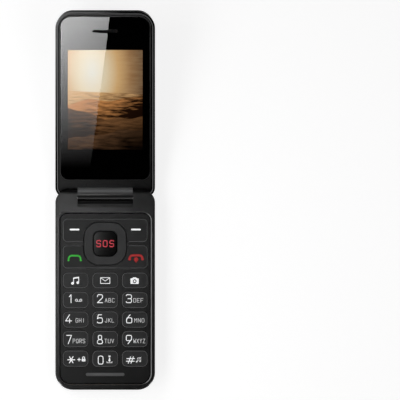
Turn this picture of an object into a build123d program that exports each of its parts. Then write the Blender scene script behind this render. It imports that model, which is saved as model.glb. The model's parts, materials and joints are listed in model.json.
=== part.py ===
from build123d import *

import os
from math import cos, radians, sin, sqrt, tan

# Flip phone, open and lying on its back. +X is to the user's right, +Y runs from the keypad to
# the lid and +Z comes out of the keypad. The origin is the middle of the rectangle that the phone
# covers, at the height of its back. Lengths are in millimetres.

# Driving dimensions of the two halves
width = 52.5
base_reach = 103.1  # hinge axis to the base's free end
base_thickness = 12.0
base_corner = 9.2
back_edge = 2.8  # rounding round the back
front_edge = 0.8  # rounding round the front
ear_radius = 2.1  # the ears' round ends, about the hinge axis
ear_corner = 6.6
ear_width = 11.55  # of each ear beside the hinge barrel
lid_reach = 101.1  # hinge axis to the lid's free end
lid_heel = 2.95  # how far the lid runs back past the hinge axis
lid_thickness = 7.5
lid_corner = 9.2
heel_corner = 5.5
lid_taper = 10.0  # degrees that the lid's sides lean in towards its outer face
lid_edge = 3.0  # rounding round the outer face
lid_gap = 0.3  # between the two faces when closed
open_angle = 160.0  # between the two faces when open, degrees
wall = 1.3
piece_gap = 0.1  # between pieces of one half
slide_gap = 0.2  # between pieces that move past each other
running_gap = 0.05  # round a turning pin
fit_gap = 0.05  # round a piece glued into its seat
seat_gap = 0.15  # round a piece that is taken out

# Heights in the base, from its back
split_height = 6.6  # where the front and rear housings meet
cover_floor = 1.0
cover_rim = 3.2  # the battery cover's rim
battery_thickness = 4.6
battery_edge = 0.6
board_height = 7.6  # underside of the main board
board_thickness = 0.8
board_gap = 0.6  # between the board's edge and the walls
dome_film = 0.1
dome_rise = 0.15
dome_radius = 2.4
mat_thickness = 1.0
mat_hole = 3.2  # radius of the mat's holes over the domes
top_wall = 0.8  # what carries the keypad panel

# Keypad panel
panel_thickness = 0.9
panel_drop = 0.3  # of the panel below the rim
rim_width = 2.25  # rim beside the panel's recess
rim_bevel = 0.45  # slope of the recess's edge
panel_groove = 0.5  # gap round the panel
panel_ledge = 0.75  # ledge under the panel's edge
panel_end = 3.05  # base's free end to the panel's recess
panel_to_axis = 9.95  # the recess's other end to the hinge axis
panel_corner_near = 5.6
panel_corner_far = 4.0
bar_length = 20.4
bar_width = 1.75
bar_at = 8.1
bar_rise = 0.15  # above the panel
bar_foot = 1.5  # how much longer its foot is, and half as much wider, under the panel
bar_foot_thickness = 0.5

# Keys: sizes and gaps, places measured from the base's free end
first_row = 16.4
row_gap = 2.1
column_gap = 2.35
key_corner = 2.5
key_edge = 0.35
key_gap = 0.2
key_lip = 0.35  # how far a key's flange reaches under the panel
key_lip_thickness = 0.4
key_travel = 0.35
key_clearance = 0.1  # left under a key at the end of its travel
key_stem = 1.2
function_length = 7.9
function_gap = 2.55  # between the function keys and the lower wide plate
rocker_margin = 1.8  # the recess's side to the wide plates
rocker_length = 11.85
rocker_gap = 2.1  # between the two wide plates
rocker_end = 3.25  # the recess's end to the upper wide plate
rocker_corner = 2.2
rocker_press_in = 6.2  # the plates' ends to their stems
nav_margin = 1.75  # the wide plates' outer edges to the navigation ring
nav_corner = 8.0
sos_width = 12.4
sos_length = 13.2
sos_corner = 3.5
nav_web_size = 17.0
nav_web_thickness = 0.5
nav_web_corner = 3.0
nav_web_hole = 3.2
nav_web_room = 0.6  # round the web in the mat
nav_press_in = 2.0  # the web's edge to its stems
web_gap = 0.25  # under the navigation ring
mat_corner = 2.0
mat_end = 9.0
mat_to_axis = 10.6

# Screws of both halves
screw_radius = 0.7
screw_head = 1.2
screw_head_height = 0.9
screw_seat = 3.4  # height of the face under the base screws' heads
screw_slot = 0.35
post_radius = 1.9
post_in = 1.6  # the inside of the side walls to the posts' middle
post_places_low = 12.0
post_middle_to_axis = 40.1
post_far_to_axis = 11.1

# Parts inside the base: places along it are measured from its free end or back from the hinge axis
cover_to_axis = 35.1  # the battery cover's edge
battery_end = 8.5
battery_to_cover = 6.5  # between the battery's other end and the cover's edge, for the contacts
battery_margin = 7.25  # the phone's side to the battery
battery_corner = 1.5
bay_gap = 0.5
bay_step = 0.5  # of the card holders' rooms into the bay's height
holder_gap = 4.4  # of the two card holders' widths off the battery's half width
sim_length, card_length = 27.6, 15.6
sim_at, card_at = 34.0, 28.0
sim_in, card_in = 1.2, 2.7  # the phone's middle plane to the holders
sim_gap, card_gap = 0.2, 0.3  # above the battery
holder_room = 0.7
contact_block_width, contact_block_length = 11.0, 4.4
contact_block_low = 2.2
contact_to_cover = 2.1
contact_pitch, contact_width, contact_length = 3.5, 1.2, 2.2
contact_reach = 3.1  # from the block's middle to the contacts'
contact_low, contact_high = 3.0, 4.4
antenna_margin = 10.45  # the side walls to the antenna carrier
antenna_near, antenna_far = 3.1, 6.9
antenna_low = 2.4
microphone_in, microphone_at, microphone_radius = 7.95, 6.5, 2.0
speaker_in, speaker_to_axis = 13.45, 19.1
speaker_width, speaker_length, speaker_high, speaker_corner = 15.0, 11.0, 4.6, 2.5
grille_slots = 5
grille_pitch = 1.9
grille_slot_width, grille_slot_length = 0.9, 9.0
motor_x, motor_to_axis, motor_radius, motor_high = -2.0, 29.6, 3.9, 4.0
can_in = 12.95
can_width, can_length, can_height = 15.0, 9.0, 1.8
can_left_to_axis, can_right_to_axis = 19.1, 27.6
camera_x, camera_to_axis = 11.0, 17.1
camera_barrel, camera_barrel_low, camera_barrel_high, camera_body = 2.9, 1.1, 3.6, 8.0
camera_hole = 3.2
camera_glass, camera_glass_inset, camera_glass_edge = 4.35, 0.15, 0.2
camera_seat = 1.0
torch_x, torch_radius, torch_lens_high, torch_body = 1.5, 1.4, 1.8, 3.4
socket_to_axis = 28.6
socket_z = 4.0
plug_radius = 1.8
plug_depth = 14.0
socket_inset = 0.15  # of the sockets' mouths behind the side walls
socket_wall = 0.65
socket_nose = 2.3
socket_in = 1.05  # the side wall to the socket's body
socket_body_length, socket_body_width = 13.6, 5.6
socket_low, socket_high = 1.7, 6.3
socket_block_in, socket_block_length, socket_block_width = 8.95, 8.0, 5.0
usb_width = 7.6
usb_height = 2.6
usb_depth = 5.5
usb_z = 4.2
usb_shell = 0.3
usb_corner = 0.6
usb_room = 0.3  # round the shell in the side wall
usb_tongue_in, usb_tongue_thickness, usb_tongue_rise, usb_tongue_short = 2.2, 0.6, 0.4, 1.0
usb_back = 0.6
usb_block_in, usb_block_length, usb_block_width = 4.65, 1.8, 7.0
pillar_in, pillar_radius = 2.95, 1.2
finger_grooves = 4
groove_to_edge, groove_pitch, groove_width, groove_depth = 14.0, 2.4, 0.9, 0.3
groove_length, groove_shorter = 18.0, 2.5

# Hinge
barrel_radius = 2.65
barrel_side_gap = 0.2
cradle_back = 6.6  # the recess behind the barrel, from the axis
cradle_gap = 0.6
cradle_side_gap = 0.3
cradle_drop = 0.4
cradle_land = 0.7
sweep_gap = 0.4  # between the cradle and what turns past it
pin_radius = 1.0
pin_bore = 0.5
pin_hold = 7.0  # length of the pin in the barrel
pin_end_gap = 0.3
ear_bore = 6.5  # depth of the bores in the ears
cam_radius = 1.9
cam_length = 12.5
cam_inset = 0.2
shaft_hold = 6.0  # length of the shaft in the cam's case
cable_way = 3.0  # length and place of the cable's way out of the pin
cable_drop = 2.0

# Lid, distances along it measured from the hinge axis
rim_step = 0.5  # the outer cover's rim below the inner face
rim_show = 0.85  # width of that rim
face_chamfer = rim_step - 0.06
face_groove = 0.55
face_groove_depth = 0.45
face_groove_in = 1.5
face_plate = 1.7
lid_skin = 1.2  # the inner housing's skirt
window_margin = 2.95  # the lid's side to the window
window_low = 7.1
window_end = 2.8  # the window's end to the lid's
window_corner_low, window_corner_high = 4.0, 5.6
window_thickness = 0.8
window_drop = 0.1
display_margin = 6.55
display_low = 23.8
display_end = 21.5
display_glass = 0.6  # the display's glass round the lit area
view_gap = 0.8
view_corner = 0.5
lcd_border = 2.6
lcd_tail = 5.0
lcd_thickness = 2.1
lid_board_thickness = 0.7
lid_board_low_end, lid_board_high_end, lid_board_margin = 9.0, 15.1, 4.75
lid_board_corner = 2.0
lid_board_notch, lid_board_notch_depth, lid_board_notch_at = 15.0, 4.0, 10.0
receiver_end = 10.9
receiver_width, receiver_length, receiver_corner, receiver_low = 15.0, 7.2, 2.0, 0.4
slot_length = 13.6
slot_width = 1.7
slot_ledge = 0.5
mesh_drop = 0.25
mesh_columns = 15
mesh_pitch, mesh_row, mesh_hole = 0.85, 0.36, 0.24
lid_post_radius = 1.8
lid_post_in, lid_post_low, lid_post_end = 5.25, 12.0, 9.1
lid_post_root = 0.2
lid_screw_seat = 0.3
magnet_in, magnet_end = 11.75, 8.1
magnet_width, magnet_length, magnet_thickness = 4.0, 3.0, 1.6
status_from_heel = 57.2  # the heel's edge to the middle of the status window
status_length = 43.0
status_width = 16.9
status_corner = 3.0
status_trim_width = 0.85
status_trim_proud = 0.1
status_trim_edge = 0.25
status_seat = 0.9
status_light_in = 1.7
status_mask_in, status_mask_thickness = 1.2, 0.25
icon_pitch = 10.7
icon_width, icon_length = 8.4, 5.0
guide_gap = 0.2
guide_end_gap = 0.1
led_width, led_length, led_height = 2.6, 1.4, 0.5

# Places that follow
far = 4 * base_reach  # beyond everything
tilt = radians(180 - open_angle)
taper = tan(radians(lid_taper))
hinge_z = base_thickness - ear_radius
lid_face = -(ear_radius + lid_gap)  # the lid's own height of its inner face
lid_back = lid_face - lid_thickness
edge_u = lid_reach - taper * (lid_thickness - lid_edge) - lid_edge * sqrt(1 + taper**2)
lid_far = edge_u * cos(tilt) - (lid_back + lid_edge) * sin(tilt) + lid_edge
hinge_y = (base_reach - lid_far) / 2
base_end = hinge_y - base_reach
rear_end = hinge_y - lid_heel + back_edge / 8
panel_far = base_reach - panel_to_axis
panel_floor = base_thickness - panel_drop - panel_thickness
panel_top = panel_floor + panel_thickness
interior_top = panel_floor - top_wall
interior_half = width / 2 - wall
board_top = board_height + board_thickness
mat_low = board_top + dome_film
mat_top = mat_low + mat_thickness
lip_low = mat_top + key_travel + key_clearance
stem_low = board_top + dome_film + dome_rise + key_travel + fit_gap
key_top = base_thickness
battery_low = cover_floor + seat_gap
battery_top = battery_low + battery_thickness
cover_length = base_reach - cover_to_axis
battery_length = cover_length - battery_to_cover - battery_end
battery_width = width - 2 * battery_margin
rocker_width = width - 2 * (rim_width + rocker_margin)
key_width = (rocker_width - 2 * column_gap) / 3
key_pitch_x = key_width + column_gap
soft_high = panel_far - rocker_end
soft_low = soft_high - rocker_length
call_high = soft_low - rocker_gap
call_low = call_high - rocker_length
nav_size = soft_high - call_low - 2 * nav_margin
function_row = call_low - function_gap - function_length / 2
key_pitch_y = (function_row - first_row) / 4
key_length = key_pitch_y - row_gap
window_high = lid_reach - window_end
window_width = width - 2 * window_margin
display_high = lid_reach - display_end
display_width = width - 2 * display_margin
receiver_at = lid_reach - receiver_end

lid_origin = (0, hinge_y, hinge_z)
lid_frame = Plane(origin=lid_origin, x_dir=(1, 0, 0), z_dir=(0, -sin(tilt), cos(tilt)))

os.makedirs("parts", exist_ok=True)


def level(height):
    """The horizontal plane at a height above the phone's back."""
    return Plane.XY.offset(height)


def lid_level(height):
    """The plane across the lid at a height above the hinge axis, in the lid's own directions."""
    return lid_frame.offset(height)


def place(distance):
    """The Y of a point given by its distance from the base's free end."""
    return base_end + distance


def plate(low, high, across, low_radius, high_radius, middle=0):
    """A flat rectangle from one Y to another, with its own corner radius at each end."""
    with BuildSketch(mode=Mode.PRIVATE) as flat:
        with Locations((middle, (low + high) / 2)):
            Rectangle(across, high - low)
        fillet(flat.vertices().group_by(Axis.Y)[0], low_radius)
        fillet(flat.vertices().group_by(Axis.Y)[-1], high_radius)
    return flat.sketch


def round_plate(x, y, across, along, radius):
    """A flat rectangle about a point, with one corner radius."""
    return plate(y - along / 2, y + along / 2, across, radius, radius, x)


def box_outline(x, y, across, along):
    """A flat rectangle about a point."""
    with BuildSketch(mode=Mode.PRIVATE) as flat:
        with Locations((x, y)):
            Rectangle(across, along)
    return flat.sketch


def disc(x, y, radius):
    """A flat disc."""
    with BuildSketch(mode=Mode.PRIVATE) as flat:
        with Locations((x, y)):
            Circle(radius)
    return flat.sketch


def keep(builder, label):
    """Labels a finished piece and writes its file."""
    builder.part.label = label
    export_step(builder.part, f"parts/{label}.step")


def slab(outline, low, high, mode=Mode.ADD):
    """Extrudes a flat outline between two heights of the base into the open part."""
    with BuildSketch(level(low)) as flat:
        add(outline)
    extrude(flat.sketch, amount=high - low, mode=mode)


def lid_slab(outline, low, high, mode=Mode.ADD):
    """The same, between two heights of the lid."""
    with BuildSketch(lid_level(low)) as flat:
        add(outline)
    extrude(flat.sketch, amount=high - low, mode=mode)


def side_bore(start, depth, y, z, radius, mode=Mode.ADD):
    """A cylinder along X from a given X."""
    with BuildSketch(Plane.YZ.offset(start)) as flat:
        with Locations((y, z)):
            Circle(radius)
    extrude(flat.sketch, amount=depth, mode=mode)


def side_block(start, depth, y, z, across, high, radius, mode=Mode.ADD):
    """A round-cornered bar along X from a given X."""
    with BuildSketch(Plane.YZ.offset(start)) as flat:
        with Locations((y, z)):
            RectangleRounded(across, high, radius)
    extrude(flat.sketch, amount=depth, mode=mode)


# ---------------------------------------------------------------- places shared by pieces
keys = {
    "key_star": (-1, 0),
    "key_0": (0, 0),
    "key_hash": (1, 0),
    "key_7": (-1, 1),
    "key_8": (0, 1),
    "key_9": (1, 1),
    "key_4": (-1, 2),
    "key_5": (0, 2),
    "key_6": (1, 2),
    "key_1": (-1, 3),
    "key_2": (0, 3),
    "key_3": (1, 3),
}
key_places = {
    name: (column * key_pitch_x, place(first_row + row * key_pitch_y), key_length)
    for name, (column, row) in keys.items()
}
for name, column in (("music_key", -1), ("message_key", 0), ("camera_key", 1)):
    key_places[name] = (column * key_pitch_x, place(function_row), function_length)

soft_middle = place((soft_low + soft_high) / 2)
call_middle = place((call_low + call_high) / 2)
nav_y = place((call_low + soft_high) / 2)
rocker_press = rocker_width / 2 - rocker_press_in
dome_places = [(x, y) for x, y, _ in key_places.values()]
dome_places += [(side * rocker_press, y) for side in (-1, 1) for y in (soft_middle, call_middle)]
nav_press = nav_web_size / 2 - nav_press_in
nav_domes = [(nav_press, nav_y), (-nav_press, nav_y), (0, nav_y + nav_press), (0, nav_y - nav_press)]
post_x = interior_half - post_in
post_rows = (place(post_places_low), hinge_y - post_middle_to_axis, hinge_y - post_far_to_axis)
post_places = [(side * post_x, y) for side in (-1, 1) for y in post_rows]
post_top = interior_top - board_gap
screw_end = post_top - screw_radius

ear_end = hinge_y + ear_radius
base_plan = plate(base_end, ear_end, width, base_corner, ear_corner)
interior_end = hinge_y - cradle_back - wall
interior_plan = plate(
    base_end + wall, interior_end, 2 * interior_half, base_corner - wall, ear_corner - wall
)


def base_shape(low, high):
    """Adds the base's outer shape between two heights: its plan, rounded, cut to its side view."""
    slab(base_plan, 0, base_thickness)
    fillet(edges().group_by(Axis.Z)[0], back_edge)
    fillet(edges().group_by(Axis.Z)[-1], front_edge)
    with BuildSketch(Plane.YZ) as side_view:
        with BuildLine():
            Line((base_end, 0), (rear_end - back_edge, 0))
            RadiusArc((rear_end - back_edge, 0), (rear_end, back_edge), -back_edge)
            Line((rear_end, back_edge), (rear_end, hinge_z - ear_radius))
            Line((rear_end, hinge_z - ear_radius), (hinge_y, hinge_z - ear_radius))
            ThreePointArc(
                (hinge_y, hinge_z - ear_radius),
                (hinge_y + ear_radius, hinge_z),
                (hinge_y, base_thickness),
            )
            Line((hinge_y, base_thickness), (base_end, base_thickness))
            Line((base_end, base_thickness), (base_end, 0))
        make_face()
    extrude(side_view.sketch, amount=width, both=True, mode=Mode.INTERSECT)
    slab(box_outline(0, 0, far, far), low, high, Mode.INTERSECT)


# ---------------------------------------------------------------- base: housings and panel
barrel_slot = width / 2 - ear_width
barrel_half = barrel_slot - barrel_side_gap


def panel_outline(inset):
    """The outline of the panel's recess, inset."""
    return plate(
        place(panel_end + inset),
        place(panel_far - inset),
        width - 2 * (rim_width + inset),
        panel_corner_near - inset,
        panel_corner_far - inset,
    )


with BuildPart() as base_front_housing:
    base_shape(split_height, base_thickness)
    slab(interior_plan, split_height, interior_top, Mode.SUBTRACT)
    slab(panel_outline(0), panel_floor, base_thickness, Mode.SUBTRACT)
    slab(panel_outline(panel_groove + panel_ledge), interior_top, panel_floor, Mode.SUBTRACT)
    with BuildSketch(level(base_thickness)) as mouth_outline:
        add(panel_outline(-rim_bevel))
    extrude(mouth_outline.sketch, amount=-rim_bevel, taper=45, mode=Mode.SUBTRACT)
    # The recess between the ears, which takes the lid's barrel and the cradle behind it
    slab(
        box_outline(0, hinge_y, 2 * barrel_slot, 2 * cradle_back),
        split_height,
        base_thickness,
        Mode.SUBTRACT,
    )
    # Screw posts beside the side walls
    for x, y in post_places:
        slab(disc(x, y, post_radius), split_height, post_top)
        slab(disc(x, y, screw_radius), split_height, screw_end + seat_gap, Mode.SUBTRACT)
    # Bores for the cam shaft and the hinge pin, along the axis
    for side, bore in ((-1, pin_radius), (1, pin_radius + running_gap)):
        mouth = side * (barrel_slot - wall)
        side_bore(mouth, side * (wall + ear_bore), hinge_y, hinge_z, bore, Mode.SUBTRACT)
keep(base_front_housing, "base_front_housing")

cover_edge = place(cover_length)
cover_beyond = box_outline(0, cover_edge + far / 2, far, far)
pocket_low = cover_edge + wall + running_gap
speaker_x, speaker_y = -(interior_half - speaker_in), hinge_y - speaker_to_axis
camera_y = hinge_y - camera_to_axis
socket_y = hinge_y - socket_to_axis
usb_y = socket_y
antenna_width = 2 * (interior_half - antenna_margin)
holder_width = (battery_width - 2 * holder_gap) / 2
sim_holder = (-(holder_width / 2 + sim_in), place(sim_at), holder_width, sim_length)
card_holder = (holder_width / 2 + card_in, place(card_at), holder_width, card_length)
contact_y = cover_edge - contact_to_cover
mouth_x = width / 2 - socket_inset


def cover_room(inset, corner_inset):
    """The outline inside the battery cover's rim, open beyond its edge."""
    outline = plate(
        base_end + inset, cover_edge + base_corner, width - 2 * inset, base_corner - corner_inset, wall
    )
    return outline - cover_beyond


def rear_floor_outline():
    """The outline of the rear housing's step that the battery cover's rim passes round."""
    inset = wall + seat_gap
    return plate(
        base_end + inset, ear_end, width - 2 * inset, base_corner - inset, ear_corner - inset
    )


with BuildPart() as base_rear_housing:
    base_shape(0, split_height)
    # The step that the battery cover slides over
    cover_zone = box_outline(0, base_end, far, 2 * cover_length)
    slab(cover_zone, 0, cover_floor + seat_gap, Mode.SUBTRACT)
    slab(cover_zone - rear_floor_outline(), 0, cover_rim + seat_gap, Mode.SUBTRACT)
    # Battery bay, open to the back, and the pocket for the parts beyond the cover
    slab(
        box_outline(
            0,
            place(battery_end + battery_length / 2),
            battery_width + 2 * bay_gap,
            battery_length + 2 * bay_gap,
        ),
        0,
        battery_top,
        Mode.SUBTRACT,
    )
    slab(
        plate(pocket_low, interior_end, 2 * (interior_half - post_in / 2), wall, ear_corner / 2),
        wall,
        split_height,
        Mode.SUBTRACT,
    )
    # Room for the card holders, the antenna and the battery's contacts
    for x, y, across, along in (sim_holder, card_holder):
        slab(
            box_outline(x, y, across + 2 * holder_room, along + 2 * holder_room),
            battery_top - bay_step,
            split_height,
            Mode.SUBTRACT,
        )
    for x, y, across, along, floor in (
        (0, place((antenna_near + antenna_far) / 2), antenna_width, antenna_far - antenna_near, antenna_low),
        (0, contact_y, contact_block_width, contact_block_length, contact_block_low),
    ):
        slab(
            box_outline(x, y, across + 2 * bay_gap, along + 2 * slide_gap),
            floor - slide_gap,
            split_height,
            Mode.SUBTRACT,
        )
    slab(
        box_outline(0, contact_y - contact_reach, 2 * contact_pitch + 2 * contact_length, contact_length),
        contact_low - slide_gap,
        split_height,
        Mode.SUBTRACT,
    )
    # Openings in the back and sides
    slab(disc(camera_x, camera_y, camera_glass + fit_gap), 0, camera_seat, Mode.SUBTRACT)
    slab(disc(camera_x, camera_y, camera_hole), 0, wall, Mode.SUBTRACT)
    slab(disc(torch_x, camera_y, torch_radius + fit_gap), 0, wall, Mode.SUBTRACT)
    for slot in range(grille_slots):
        slot_y = speaker_y + (slot - (grille_slots - 1) / 2) * grille_pitch
        slab(
            round_plate(
                speaker_x, slot_y, grille_slot_length, grille_slot_width, grille_slot_width / 2.1
            ),
            0,
            wall,
            Mode.SUBTRACT,
        )
    side_bore(
        -width / 2 - wall,
        3 * wall,
        socket_y,
        socket_z,
        plug_radius + socket_wall + fit_gap,
        Mode.SUBTRACT,
    )
    side_block(
        width / 2 + wall,
        -3 * wall,
        usb_y,
        usb_z,
        usb_width + 2 * (usb_shell + usb_room),
        usb_height + 2 * (usb_shell + usb_room),
        usb_corner + usb_shell + usb_room,
        Mode.SUBTRACT,
    )
    # Pillars under the main board, and holes for the screws
    pillar_places = [
        (side * (interior_half - pillar_in), place(step * cover_length / 4))
        for side in (-1, 1)
        for step in (1, 2, 3)
    ]
    for x, y in pillar_places:
        slab(disc(x, y, pillar_radius), split_height - wall, board_height)
    for x, y in post_places:
        if y > cover_edge:
            slab(disc(x, y, post_radius + board_gap), wall, split_height)
        slab(disc(x, y, screw_radius + piece_gap), 0, split_height, Mode.SUBTRACT)
        slab(disc(x, y, screw_head + seat_gap), 0, screw_seat, Mode.SUBTRACT)
keep(base_rear_housing, "base_rear_housing")

with BuildPart() as battery_cover:
    base_shape(0, cover_rim)
    slab(
        box_outline(0, cover_edge - slide_gap + far / 2, far, far), 0, base_thickness, Mode.SUBTRACT
    )
    slab(cover_room(wall, wall), cover_floor, base_thickness, Mode.SUBTRACT)
    # Finger grooves by the edge that the thumb pushes
    for groove in range(finger_grooves):
        slab(
            round_plate(
                0,
                cover_edge - groove_to_edge + groove * groove_pitch,
                groove_length - groove * groove_shorter,
                groove_width,
                groove_width / 2.1,
            ),
            0,
            groove_depth,
            Mode.SUBTRACT,
        )
keep(battery_cover, "battery_cover")


def cut_hole(outline):
    """Cuts a hole through the keypad panel."""
    slab(outline, panel_floor, base_thickness, Mode.SUBTRACT)


nav_hole = nav_size + 2 * key_gap
nav_hole_plan = round_plate(0, nav_y, nav_hole, nav_hole, nav_corner)
bar_y = place(bar_at)

with BuildPart() as keypad_panel:
    slab(panel_outline(panel_groove), panel_floor, panel_top)
    for x, y, length in key_places.values():
        cut_hole(
            round_plate(
                x, y, key_width + 2 * key_gap, length + 2 * key_gap, key_corner + key_gap
            )
        )
    for y in (soft_middle, call_middle):
        cut_hole(
            round_plate(
                0, y, rocker_width + 2 * key_gap, rocker_length + 2 * key_gap, rocker_corner + key_gap
            )
        )
    cut_hole(nav_hole_plan)
    cut_hole(round_plate(0, bar_y, bar_length, bar_width, bar_width / 2.01))
keep(keypad_panel, "keypad_panel")

with BuildPart() as keypad_bar:
    slab(
        round_plate(
            0, bar_y, bar_length - 2 * fit_gap, bar_width - 2 * fit_gap, bar_width / 2 - 1.5 * fit_gap
        ),
        panel_floor,
        panel_top + bar_rise,
    )
    slab(
        round_plate(0, bar_y, bar_length + 2 * bar_foot, bar_width + bar_foot, bar_width / 2),
        panel_floor - bar_foot_thickness,
        panel_floor,
    )
    fillet(edges().group_by(Axis.Z)[-1], bar_rise)
keep(keypad_bar, "keypad_bar")

# ---------------------------------------------------------------- keys


def key_cap(label, x, y, length):
    """One key: its cap, the flange under the panel and the stem that presses its dome."""
    with BuildPart() as cap:
        slab(round_plate(x, y, key_width, length, key_corner), lip_low, key_top)
        fillet(edges().group_by(Axis.Z)[-1], key_edge)
        slab(
            round_plate(x, y, key_width + 2 * key_lip, length + 2 * key_lip, key_corner),
            lip_low,
            lip_low + key_lip_thickness,
        )
        slab(disc(x, y, key_stem), stem_low, lip_low)
    keep(cap, label)


for name, (x, y, length) in key_places.items():
    key_cap(name, x, y, length)


def rocker(label, y):
    """A wide plate that tips to its left or right, cut away round the navigation ring."""
    with BuildPart() as cap:
        slab(round_plate(0, y, rocker_width, rocker_length, rocker_corner), lip_low, key_top)
        slab(nav_hole_plan, lip_low, key_top, Mode.SUBTRACT)
        fillet(edges().group_by(Axis.Z)[-1], key_edge)
        for side in (-1, 1):
            slab(disc(side * rocker_press, y, key_stem), stem_low, lip_low)
    keep(cap, label)


rocker("soft_key_rocker", soft_middle)
rocker("call_key_rocker", call_middle)

with BuildPart() as nav_ring:
    slab(round_plate(0, nav_y, nav_size, nav_size, nav_corner), lip_low, key_top)
    slab(
        round_plate(
            0, nav_y, sos_width + 2 * key_gap, sos_length + 2 * key_gap, sos_corner + key_gap
        ),
        lip_low,
        key_top,
        Mode.SUBTRACT,
    )
    fillet(edges().group_by(Axis.Z)[-1], key_edge)
keep(nav_ring, "nav_ring")

web_top = lip_low - web_gap
with BuildPart() as nav_web:
    slab(
        round_plate(0, nav_y, nav_web_size, nav_web_size, nav_web_corner),
        web_top - nav_web_thickness,
        web_top,
    )
    slab(disc(0, nav_y, nav_web_hole), 0, base_thickness, Mode.SUBTRACT)
    for x, y in nav_domes:
        slab(disc(x, y, key_stem), stem_low, web_top - nav_web_thickness)
keep(nav_web, "nav_web")

sos_low = lip_low + key_travel
with BuildPart() as sos_key:
    slab(round_plate(0, nav_y, sos_width, sos_length, sos_corner), sos_low, key_top)
    fillet(edges().group_by(Axis.Z)[-1], key_edge)
    slab(disc(0, nav_y, key_stem), stem_low, sos_low)
keep(sos_key, "sos_key")

# ---------------------------------------------------------------- base: inside
board_half = interior_half - board_gap
board_plan = plate(
    base_end + wall + 2 * board_gap,
    interior_end - 2 * board_gap,
    2 * board_half,
    base_corner - wall - board_gap,
    ear_corner - wall - board_gap,
)
mat_plan = plate(
    place(mat_end),
    hinge_y - mat_to_axis,
    2 * (post_x - post_radius - 4 * piece_gap),
    mat_corner,
    mat_corner,
)

with BuildPart() as main_board:
    slab(board_plan, board_height, board_top)
    for x, y in post_places:
        slab(disc(x, y, post_radius + 3 * piece_gap), board_height, board_top, Mode.SUBTRACT)
keep(main_board, "main_board")

with BuildPart() as dome_sheet:
    slab(mat_plan, board_top, mat_low)
    for x, y in dome_places + nav_domes + [(0, nav_y)]:
        slab(disc(x, y, dome_radius), mat_low, mat_low + dome_rise)
keep(dome_sheet, "dome_sheet")

with BuildPart() as keypad_mat:
    slab(mat_plan, mat_low, mat_top)
    for x, y in dome_places:
        slab(disc(x, y, mat_hole), mat_low, mat_top, Mode.SUBTRACT)
    web_room = nav_web_size + 2 * nav_web_room
    slab(
        round_plate(0, nav_y, web_room, web_room, nav_web_corner), mat_low, mat_top, Mode.SUBTRACT
    )
keep(keypad_mat, "keypad_mat")

with BuildPart() as shield_cans:
    for side, to_axis in ((-1, can_left_to_axis), (1, can_right_to_axis)):
        slab(
            box_outline(side * (interior_half - can_in), hinge_y - to_axis, can_width, can_length),
            board_height - can_height,
            board_height,
        )
keep(shield_cans, "shield_cans")

with BuildPart() as card_holders:
    slab(box_outline(*sim_holder), battery_top + sim_gap, board_height)
    slab(box_outline(*card_holder), battery_top + card_gap, board_height)
keep(card_holders, "card_holders")

with BuildPart() as battery:
    slab(
        round_plate(
            0, place(battery_end + battery_length / 2), battery_width, battery_length, battery_corner
        ),
        battery_low,
        battery_top,
    )
    fillet(edges().group_by(Axis.Z)[0] + edges().group_by(Axis.Z)[-1], battery_edge)
keep(battery, "battery")

with BuildPart() as battery_connector:
    slab(
        box_outline(0, contact_y, contact_block_width, contact_block_length),
        contact_block_low,
        board_height,
    )
    for step in (-1, 0, 1):
        slab(
            box_outline(
                step * contact_pitch, contact_y - contact_reach, contact_width, contact_length
            ),
            contact_low,
            contact_high,
        )
keep(battery_connector, "battery_connector")

with BuildPart() as antenna_carrier:
    slab(
        plate(place(antenna_near), place(antenna_far), antenna_width, wall / 2, wall / 2),
        antenna_low,
        board_height,
    )
keep(antenna_carrier, "antenna_carrier")

with BuildPart() as microphone:
    slab(
        disc(interior_half - microphone_in, place(microphone_at), microphone_radius),
        split_height + fit_gap,
        board_height,
    )
keep(microphone, "microphone")

with BuildPart() as loudspeaker:
    slab(
        round_plate(speaker_x, speaker_y, speaker_width, speaker_length, speaker_corner),
        wall,
        speaker_high,
    )
keep(loudspeaker, "loudspeaker")

with BuildPart() as vibration_motor:
    slab(disc(motor_x, hinge_y - motor_to_axis, motor_radius), wall, motor_high)
keep(vibration_motor, "vibration_motor")

with BuildPart() as camera_module:
    slab(disc(camera_x, camera_y, camera_barrel), camera_barrel_low, camera_barrel_high)
    slab(
        box_outline(camera_x, camera_y, camera_body, camera_body), camera_barrel_high, board_height
    )
keep(camera_module, "camera_module")

with BuildPart() as camera_window:
    slab(disc(camera_x, camera_y, camera_glass), camera_glass_inset, camera_seat)
    fillet(edges().group_by(Axis.Z)[0], camera_glass_edge)
keep(camera_window, "camera_window")

with BuildPart() as torch_led:
    slab(disc(torch_x, camera_y, torch_radius), camera_glass_inset, torch_lens_high)
    slab(box_outline(torch_x, camera_y, torch_body, torch_body), torch_lens_high, board_height)
keep(torch_led, "torch_led")

with BuildPart() as headphone_socket:
    side_bore(-mouth_x, socket_nose, socket_y, socket_z, plug_radius + socket_wall)
    slab(
        box_outline(
            -interior_half + socket_in + socket_body_length / 2,
            socket_y,
            socket_body_length,
            socket_body_width,
        ),
        socket_low,
        socket_high,
    )
    slab(
        box_outline(
            -interior_half + socket_block_in, socket_y, socket_block_length, socket_block_width
        ),
        socket_high,
        board_height,
    )
    side_bore(-mouth_x, plug_depth, socket_y, socket_z, plug_radius, Mode.SUBTRACT)
keep(headphone_socket, "headphone_socket")

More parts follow.
